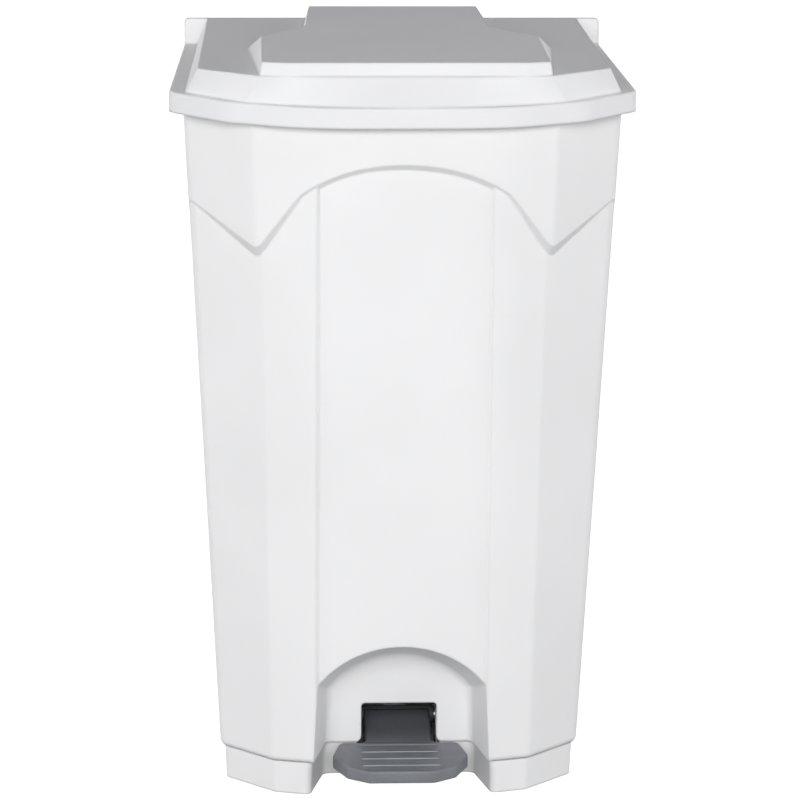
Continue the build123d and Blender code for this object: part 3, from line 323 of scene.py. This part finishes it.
def pedal_plastic(name, tone, rub):
    """Grey plastic with rubbed patches, smudges and painted shade on the neck; rub is how far the patches
    are worn.
    """
    finish = Finish(name, IOR=1.49, Roughness=0.5)
    smudge = finish.noise(26.0, 5.0, 0.6)
    rubbed = finish.noise(60.0, 6.0, 0.75, finish.stretched((1.0, 0.25, 1.0)))
    etched = finish.noise(1300.0, 2.0, 0.6)
    darker = tuple(c * 0.86 for c in tone) + (1,)
    grey = finish.mix(finish.between(smudge, 0.35, 0.7), tone + (1,), darker)
    # Painted shade: the neck is darkened towards the back, standing in for the shade inside the recess.
    neck_painted_shade = finish.between(finish.along("Y"), TREAD_BACK_Y, NECK_DARK_Y)
    grey_with_painted_shade = finish.mix(neck_painted_shade, grey, tuple(c * 0.5 for c in tone) + (1,))
    worn = finish.mix(finish.between(rubbed, 0.58, 0.8) * rub, grey_with_painted_shade, (0.36, 0.37, 0.39, 1))
    finish.feed(Base_Color=worn, Roughness=finish.between(rubbed, 0.3, 0.8, 0.42, 0.6))
    finish.relief(etched + smudge * 0.5, 0.00009, 0.0012)
    return finish.material


def acetal():
    """Natural acetal: milky, semi-matt."""
    finish = Finish("bearing_grey", IOR=1.48, Roughness=0.4)
    milky = finish.noise(120.0, 3.0)
    finish.feed(
        Base_Color=finish.mix(milky, (0.56, 0.56, 0.57, 1), (0.50, 0.50, 0.52, 1)),
        Roughness=finish.between(milky, 0.2, 0.8, 0.34, 0.5),
    )
    finish.relief(finish.noise(900.0, 2.0), 0.00005, 0.0006)
    return finish.material


def zinc():
    """Zinc-plated steel: cloudy plating over drawing lines."""
    finish = Finish("zinc_steel", Metallic=1.0, Roughness=0.3)
    cloudy = finish.noise(70.0, 4.0, 0.6)
    drawn = finish.noise(2600.0, 2.0, 0.5, finish.stretched((1.0, 1.0, 0.03)))
    finish.feed(
        Base_Color=finish.mix(cloudy, (0.68, 0.70, 0.74, 1), (0.57, 0.585, 0.60, 1)),
        Roughness=finish.between(cloudy, 0.25, 0.75, 0.24, 0.42),
    )
    finish.relief(drawn, 0.00003, 0.0004)
    return finish.material


def rubber():
    """Matt black rubber with a dusty bloom."""
    finish = Finish("black_rubber", Roughness=0.8)
    bloom = finish.noise(150.0, 4.0, 0.6)
    dust = finish.between(bloom, 0.4, 0.75)
    finish.feed(
        Base_Color=finish.mix(dust, (0.022, 0.022, 0.023, 1), (0.065, 0.064, 0.062, 1)),
        Roughness=finish.between(bloom, 0.2, 0.8, 0.7, 0.9),
    )
    finish.relief(finish.noise(1200.0, 2.0), 0.00006, 0.0008)
    return finish.material


FINISHES = {
    "body_white": body_white,
    "lid_white": lid_white,
    "pedal_grey": pedal_plastic("pedal_grey", (0.195, 0.206, 0.226), 0.3),
    # pedal_ribs: its paler tone is a painted highlight on the rib crests; its larger rub is rubbed wear.
    "pedal_ribs": pedal_plastic("pedal_ribs", (0.30, 0.315, 0.34), 0.8),
    "bearing_grey": acetal(),
    "zinc_steel": zinc(),
    "black_rubber": rubber(),
}

# %% [markdown]
# ## Dressing the CAD nodes
# Each CAD node came in with the name of its material slot. We swap what is in the slot for the finish of
# the same name, and leave the node's mesh alone.

# %% Dress the nodes
for name, thing in sorted(nodes.items()):
    for holder in thing.material_slots:
        stem = holder.material.name.split(".")[0]
        holder.material = FINISHES[stem]
print("dressed", len(nodes), "nodes")

# %% [markdown]
# ## Surfaces from numpy
# The pieces below are grids of points worked out with numpy: a shape is a formula of two numbers, one
# along the rows and one along the columns. `grid_faces` joins neighbours with quads and lets the columns
# close into a ring. A ring whose points all fall together is a pole, and the doubles there are merged.

# %% Grid helpers
MM = 0.001


def grid_faces(points, start):
    """Quads between neighbouring rows and columns of a (rows, columns, 3) grid, its columns in a ring."""
    rows, columns = points.shape[:2]
    index = np.arange(rows * columns).reshape(rows, columns) + start
    after = np.roll(index, -1, axis=1)
    return np.stack([index[:-1], after[:-1], after[1:], index[1:]], axis=-1).reshape(-1, 4)


def moulded(name, grids, finish, body):
    """One piece made of closed grids in millimetres, shaded smoothly, that rides on a body."""
    starts = np.cumsum([0] + [g.shape[0] * g.shape[1] for g in grids])
    faces = np.concatenate([grid_faces(g, s) for g, s in zip(grids, starts)])
    points = np.concatenate([g.reshape(-1, 3) for g in grids]) * MM
    mesh = bpy.data.meshes.new(name)
    mesh.from_pydata(points.tolist(), [], faces.tolist())
    work = bmesh.new()
    work.from_mesh(mesh)
    bmesh.ops.remove_doubles(work, verts=work.verts, dist=1e-6)
    bmesh.ops.recalc_face_normals(work, faces=work.faces)
    work.to_mesh(mesh)
    work.free()
    mesh.polygons.foreach_set("use_smooth", np.ones(len(mesh.polygons), bool))
    mesh.materials.append(finish)
    thing = bpy.data.objects.new(name, mesh)
    bpy.context.scene.collection.objects.link(thing)
    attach(thing, body)
    print(name, len(mesh.vertices), "points", len(mesh.polygons), "faces")
    return thing


# %% [markdown]
# ## Outlines with rounded corners
# A moulding's outline is a polygon with rounded corners. Stepping along its sides and arcs in turn would
# need a lot of cases. Instead we ask, for each direction round the compass, which corner of the slightly
# shrunk polygon lies furthest that way, and step one radius further in that direction. The arcs appear
# by themselves, and a smaller radius gives the same outline set in, which is how the edges are rounded.

# %% Outline helpers
def shrunk(corners, distance):
    """Corners where the sides of an anticlockwise convex polygon cross once each has moved inwards."""
    side = np.roll(corners, -1, axis=0) - corners
    normal = np.stack([-side[:, 1], side[:, 0]], axis=1) / np.linalg.norm(side, axis=1, keepdims=True)
    reach = (normal * corners).sum(axis=1) + distance
    pairs = np.stack([np.roll(normal, 1, axis=0), normal], axis=1)
    reaches = np.stack([np.roll(reach, 1), reach], axis=1)
    return np.linalg.solve(pairs, reaches[..., None])[..., 0]


def compass(corners, count):
    """For each of count directions: the polygon's furthest corner that way, and the direction itself."""
    angle = np.linspace(0, 2 * np.pi, count, endpoint=False) + 0.01
    way = np.stack([np.cos(angle), np.sin(angle)], axis=1)
    return corners[np.argmax(way @ corners.T, axis=1)], way


def smooth_step(value, low, high):
    """0 below low, 1 above high, and 3t^2 - 2t^3 between."""
    t = np.clip((value - low) / (high - low), 0, 1)
    return t * t * (3 - 2 * t)


# %% [markdown]
# ## The tread of the pedal
# The tread is an eight-sided plate with soft corners, a very shallow dish for the shoe and ends that rise a
# little. It could be a box with bevels, but the dish and the rising ends would be lost. Each row of the
# grid is the outline at one stage of a walk: from the middle of the dish out to the rim, over the
# rounded edge, down the side and back under to the middle of the underside.

# %% Tread
tread_low = np.array(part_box("pedal_tread")[0]) / MM
FRONT = tread_low[1]
TREAD_THICK = 14.0
TREAD_UNDER = tread_low[2]
TREAD_TOP = TREAD_UNDER + TREAD_THICK
CORNER = 9.0  # radius of the plan's corners
DISH = 0.9  # depth of the dish
TOP_EDGE, UNDER_EDGE = 2.2, 2.0  # radii of the rounded rims
END_RISE = 1.0
half_plan = np.array([(36, 0), (60, 15), (75, 48), (66, 89)], float)
plan = np.concatenate([half_plan, half_plan[::-1] * (-1, 1)]) + (0, FRONT)
furthest, way = compass(shrunk(plan, CORNER), 144)
middle = plan.mean(axis=0)

# share of the way from the middle, radius added at the corners, height
edge = np.linspace(0, np.pi / 2, 6)
walk = (
    [(s, 0.0, TREAD_TOP - DISH) for s in (0.0, 0.3, 0.6, 0.85, 1.0)]
    + [(1.0, 3.0, TREAD_TOP - 0.7), (1.0, 5.0, TREAD_TOP - 0.2)]
    + [
        (1.0, CORNER - TOP_EDGE * (1 - math.sin(a)), TREAD_TOP - TOP_EDGE * (1 - math.cos(a)))
        for a in edge
    ]
    + [
        (1.0, CORNER - UNDER_EDGE * (1 - math.cos(a)), TREAD_UNDER + UNDER_EDGE * (1 - math.sin(a)))
        for a in edge
    ]
    + [(s, 0.0, TREAD_UNDER) for s in (1.0, 0.5, 0.0)]
)
share, radius, level = (np.array(column)[:, None] for column in zip(*walk))
x = middle[0] + share * (furthest[:, 0] - middle[0]) + radius * way[:, 0]
y = middle[1] + share * (furthest[:, 1] - middle[1]) + radius * way[:, 1]
z = level + END_RISE * smooth_step(np.abs(x), 46, 74) * (level > TREAD_TOP - 3)
tread = np.stack([x, y, z], axis=-1)
print("tread grid", tread.shape, "under", round(TREAD_UNDER, 2), "top", round(TREAD_TOP, 2))

# %% [markdown]
# ## The neck and the boss
# Behind the tread the pedal narrows into a neck that climbs through the opening in the bin and ends in a
# boss round the axle. The neck is a rounded rectangle carried along the path from tread to axle, wider
# where it leaves the tread. The boss is a ring: a small closed profile turned round the axle.

# %% Neck and boss
pedal_joint = next(joint for joint in frame["joints"] if joint["name"] == "pedal_pivot")
AXLE_Y, AXLE_Z = (1000 * c for c in pedal_joint["pos_m"][1:])
NECK_HALF, NECK_EDGE = 37.0, 3.0
FLARE, FLARE_LENGTH = 9.0, 6.5  # the neck is this much wider for this far where it leaves the tread
FOOT_Z, HEAD_Z = TREAD_TOP - 0.6, AXLE_Z + 9.4

along = np.linspace(FRONT + 80, AXLE_Y - 4, 30)[:, None]
climb = np.clip((along - along[0]) / (along[-1] - along[0]), 0, 1)
top = FOOT_Z + (HEAD_Z - FOOT_Z) * climb**1.35
under = np.full_like(top, TREAD_UNDER + 1.6)
thick = (top - under) / 2
half = NECK_HALF + FLARE * np.exp(-(((along - along[0] - 4) / FLARE_LENGTH) ** 2))
quarter, turn = compass(np.array([(-1, -1), (1, -1), (1, 1), (-1, 1)], float), 72)
closing = np.ones_like(along)
closing[[0, -1]] = 0.0
neck = np.stack(
    [
        closing * (quarter[:, 0] * (half - NECK_EDGE) + NECK_EDGE * turn[:, 0]),
        along + 0 * turn[:, 0],
        (top + under) / 2 + closing * (quarter[:, 1] * (thick - NECK_EDGE) + NECK_EDGE * turn[:, 1]),
    ],
    axis=-1,
)
neck[0, :, 1] = along[1, 0]
neck[-1, :, 1] = along[-2, 0]

BOSS_R, BORE_R, BOSS_HALF = 10.0, 4.2, 42.0
loop, out = compass(np.array([(-1, -1), (1, -1), (1, 1), (-1, 1)], float), 32)
across = loop[:, 0] * (BOSS_HALF - 1) + out[:, 0]
from_axle = (BOSS_R + BORE_R) / 2 + loop[:, 1] * ((BOSS_R - BORE_R) / 2 - 1) + out[:, 1]
around = np.linspace(0, 2 * np.pi, 49)[:, None]
boss = np.stack(
    [across + 0 * around, AXLE_Y + from_axle * np.cos(around), AXLE_Z + from_axle * np.sin(around)], axis=-1
)
pedal = moulded("pedal_moulding", [tread, neck, boss], FINISHES["pedal_grey"], "pedal")
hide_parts("pedal_tread")

# %% [markdown]
# ## The ribs on the tread
# Four thin ribs cross the tread so that a wet sole does not slip. Each rib is a flattened round bar whose
# thickness fades out at both ends, and the four of them are one piece. Its finish is a paler grey with more
# rubbed wear: the wear is real, and the paler grey is a painted highlight for the light on the crests.

# %% Ribs
RIB_HALF, RIB_WIDE, RIB_HIGH = 44.0, 0.9, 1.05
FIRST_RIB, RIB_SPACING, RIB_FADE = 21.0, 20.5, 4.0
along = np.linspace(-RIB_HALF, RIB_HALF, 40)[:, None]
fade = np.sqrt(np.clip((RIB_HALF - np.abs(along)) / RIB_FADE, 0, 1))
turn = np.linspace(0, 2 * np.pi, 16, endpoint=False)
ribs = [
    np.stack(
        [
            along + 0 * turn,
            FRONT + FIRST_RIB + number * RIB_SPACING + RIB_WIDE * fade * np.cos(turn),
            TREAD_TOP - DISH + RIB_HIGH * fade * np.sin(turn),
        ],
        axis=-1,
    )
    for number in range(4)
]
moulded("tread_ribs", ribs, FINISHES["pedal_ribs"], "pedal")
